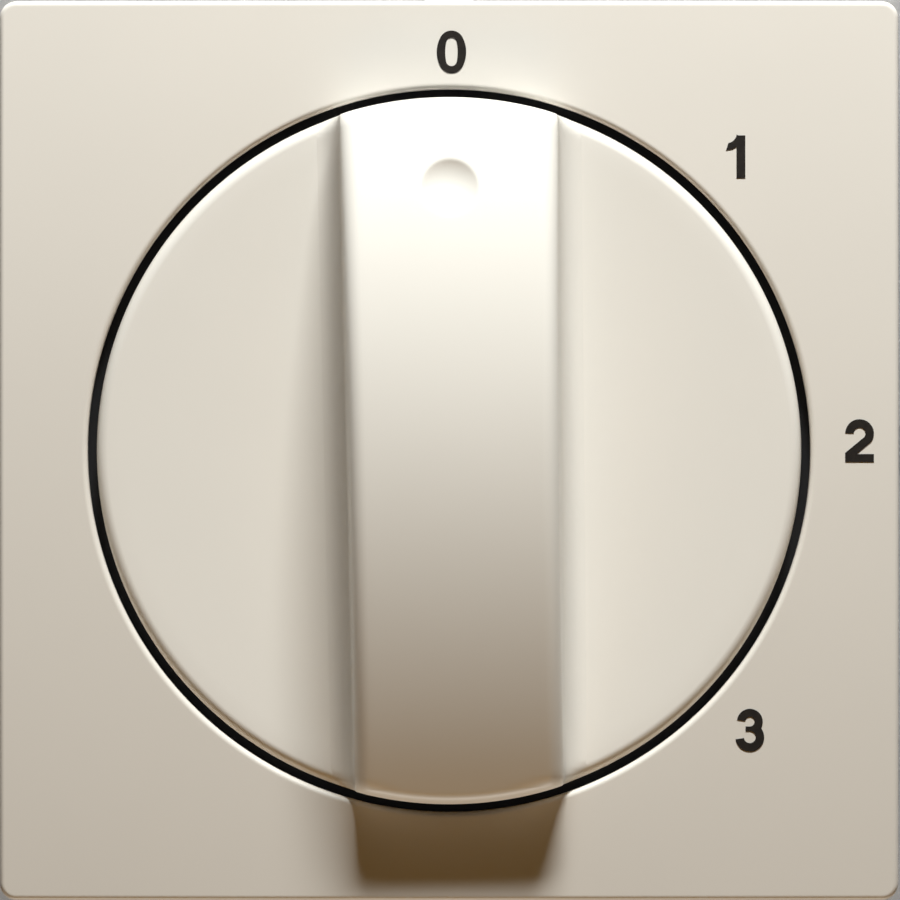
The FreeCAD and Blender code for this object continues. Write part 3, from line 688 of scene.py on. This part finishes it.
def loops_two():
    half_w = numeral_w / 2 - 0.02
    half_h = numeral_h / 2
    bowl_y = half_h - half_w
    start = math.radians(178)
    end = math.radians(-35)
    outer = arc_points(0, bowl_y, half_w, start, end, 26)
    inner = arc_points(0, bowl_y, half_w - stroke, end, start, 20)
    foot_y = -half_h + stroke - 0.03
    corner_y = foot_y + 0.07
    # the outer edge of the diagonal runs parallel to its inner edge
    (ix, iy), (ox, oy) = inner[0], outer[-1]
    slope = (ix + half_w) / (iy - corner_y)
    heel = (ox - (oy - foot_y) * slope, foot_y)
    foot = [heel, (half_w, foot_y), (half_w, -half_h), (-half_w, -half_h), (-half_w, corner_y)]
    return [outer + foot + inner]


def loops_three():
    half_h = numeral_h / 2
    upper_r = 0.79
    lower_r = numeral_w / 2 - 0.02
    upper_y = half_h - upper_r
    lower_y = -half_h + lower_r
    bar_x = -0.26
    upper_tip = math.radians(172)
    lower_tip = math.radians(-172)
    # outer arcs cross at the waist on the right
    gap = upper_y - lower_y
    across = (gap ** 2 + lower_r ** 2 - upper_r ** 2) / (2 * gap)
    cross_low = math.asin(across / lower_r)
    cross_high = -math.asin((gap - across) / upper_r)
    inner_up = upper_r - stroke + 0.02
    inner_low = lower_r - stroke
    points = arc_points(0, upper_y, upper_r, upper_tip, cross_high, 24)
    points += arc_points(0, lower_y, lower_r, cross_low, lower_tip, 28)[1:]
    points += arc_points(0, lower_y, inner_low, lower_tip, math.pi / 2, 22)
    points += [(bar_x, lower_y + inner_low), (bar_x, upper_y - inner_up)]
    points += arc_points(0, upper_y, inner_up, -math.pi / 2, upper_tip, 18)
    return [points]


def make_numerals():
    bm = bmesh.new()
    for stage, loops in enumerate((loops_zero(), loops_one(), loops_two(), loops_three())):
        a = math.pi / 2 - stage * print_step
        x = dial_r * math.cos(a) if stage else zero_x
        y = dial_r * math.sin(a) if stage else zero_r
        add_print(bm, loops, x, y)
    crown_face(bm, 0)
    order_faces(bm)
    piece = make_object("numeral_print", bm, "housing", "printing_ink")
    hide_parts("dial_numerals")


make_plate()
make_knob()
make_numerals()

# ---- carried-over nodes get their materials ---------------------------------------------
slot_of = {entry["node"]: entry["material_slot"] for entry in frame["record"]["subparts"]}
for node, obj in frame["nodes"].items():
    obj.data.materials.clear()
    obj.data.materials.append(MATERIALS[slot_of[node]])

# ---- stage: floor, lights, world and camera, in metres ----------------------------------
floor_half = 2.0
floor_gap = 0.0005
view_width = 0.0550
view_distance = 0.60
view_centre = Vector((0.00006, -face_z * MM, 0.00004))
face_centre = Vector((0, -face_z * MM, 0))


def point_along(obj, direction):
    obj.rotation_euler = direction.to_track_quat("-Z", "Y").to_euler()


def make_floor():
    bm = bmesh.new()
    corners = [bm.verts.new((sx * floor_half, sy * floor_half, 0))
               for sx, sy in ((-1, -1), (1, -1), (1, 1), (-1, 1))]
    bm.faces.new(corners)
    mesh = bpy.data.meshes.new("floor")
    bm.to_mesh(mesh)
    bm.free()
    floor = bpy.data.objects.new("floor", mesh)
    bpy.context.scene.collection.objects.link(floor)
    floor.location = (0, 0, cad_bounds[0].z - floor_gap)
    material, nodes, links, shader, coords = new_material("floor_paper")
    tone = noise(nodes, links, coords, scale=6, detail=2)
    paper = ramp(nodes, links, tone, [(0.3, (0.66, 0.65, 0.63)), (0.7, (0.69, 0.68, 0.66))])
    links.new(paper, shader.inputs["Base Color"])
    shader.inputs["Roughness"].default_value = 0.8
    mesh.materials.append(material)
    # the floor is lit and shadowed, but neither lights nor shades the object
    floor.visible_diffuse = False
    floor.visible_glossy = False
    floor.visible_shadow = False


def add_light(name, kind, energy, colour):
    data = bpy.data.lights.new(name, kind)
    data.energy = energy
    data.color = colour
    light = bpy.data.objects.new(name, data)
    bpy.context.scene.collection.objects.link(light)
    return light


def area_light(name, azimuth, elevation, distance, size, power, colour):
    """Soft light aimed at the plate's middle; azimuth 0 is above the plate's top edge, 90 at
    its right; elevation is measured from the plate's plane towards the user, in degrees."""
    light = add_light(name, "AREA", power, colour)
    light.data.shape = "RECTANGLE"
    light.data.size, light.data.size_y = size
    a = math.radians(azimuth)
    e = math.radians(elevation)
    x = math.sin(a) * math.cos(e)
    y = math.cos(a) * math.cos(e)
    light.location = Vector((x, -math.sin(e), y)) * distance
    point_along(light, face_centre - light.location)


def sun(name, direction, strength):
    """Broad soft light from behind the device; it falls on the floor, the back and the sides."""
    light = add_light(name, "SUN", strength, (1.0, 0.985, 0.96))
    light.data.angle = math.radians(25)
    point_along(light, Vector(direction))


def make_world():
    """Plain surroundings: dim and warm for soft light, brighter for gloss, pale in view."""
    world = bpy.data.worlds.new("studio")
    bpy.context.scene.world = world
    world.use_nodes = True
    nodes = world.node_tree.nodes
    links = world.node_tree.links
    dim = nodes["Background"]
    dim.inputs["Color"].default_value = (1.0, 0.67, 0.33, 1)
    dim.inputs["Strength"].default_value = 0.006
    mirrored = nodes.new("ShaderNodeBackground")
    mirrored.inputs["Color"].default_value = (1.0, 0.98, 0.95, 1)
    mirrored.inputs["Strength"].default_value = 0.28
    pale = nodes.new("ShaderNodeBackground")
    pale.inputs["Color"].default_value = (0.98, 0.975, 0.96, 1)
    path = nodes.new("ShaderNodeLightPath")
    shown = dim.outputs["Background"]
    for ray, other in (("Is Glossy Ray", mirrored), ("Is Camera Ray", pale)):
        mix = nodes.new("ShaderNodeMixShader")
        links.new(path.outputs[ray], mix.inputs["Fac"])
        links.new(shown, mix.inputs[1])
        links.new(other.outputs["Background"], mix.inputs[2])
        shown = mix.outputs["Shader"]
    links.new(shown, nodes["World Output"].inputs["Surface"])


def make_camera():
    data = bpy.data.cameras.new("camera")
    camera = bpy.data.objects.new("camera", data)
    bpy.context.scene.collection.objects.link(camera)
    camera.location = view_centre + Vector((0, -view_distance, 0))
    point_along(camera, view_centre - camera.location)
    data.sensor_width = 36
    data.lens = data.sensor_width * view_distance / view_width
    data.clip_start = 0.01
    data.clip_end = 20
    bpy.context.scene.camera = camera


make_floor()
make_world()
area_light("key", azimuth=6, elevation=27.5, distance=0.35, size=(0.12, 0.05),
           power=2.04, colour=(0.993, 1.0, 0.964))
area_light("low_fill", azimuth=180, elevation=-4, distance=0.40, size=(0.30, 0.10),
           power=0.60, colour=(1.0, 0.97, 0.90))
area_light("warm_bounce", azimuth=180, elevation=30, distance=0.40, size=(0.30, 0.10),
           power=0.225, colour=(1.0, 0.47, 0.01))
sun("behind_left", direction=(0.55, -0.45, -0.75), strength=1.3)
sun("behind_right", direction=(-0.65, -0.40, -0.65), strength=0.9)
make_camera()
bpy.context.scene.view_settings.view_transform = "Standard"
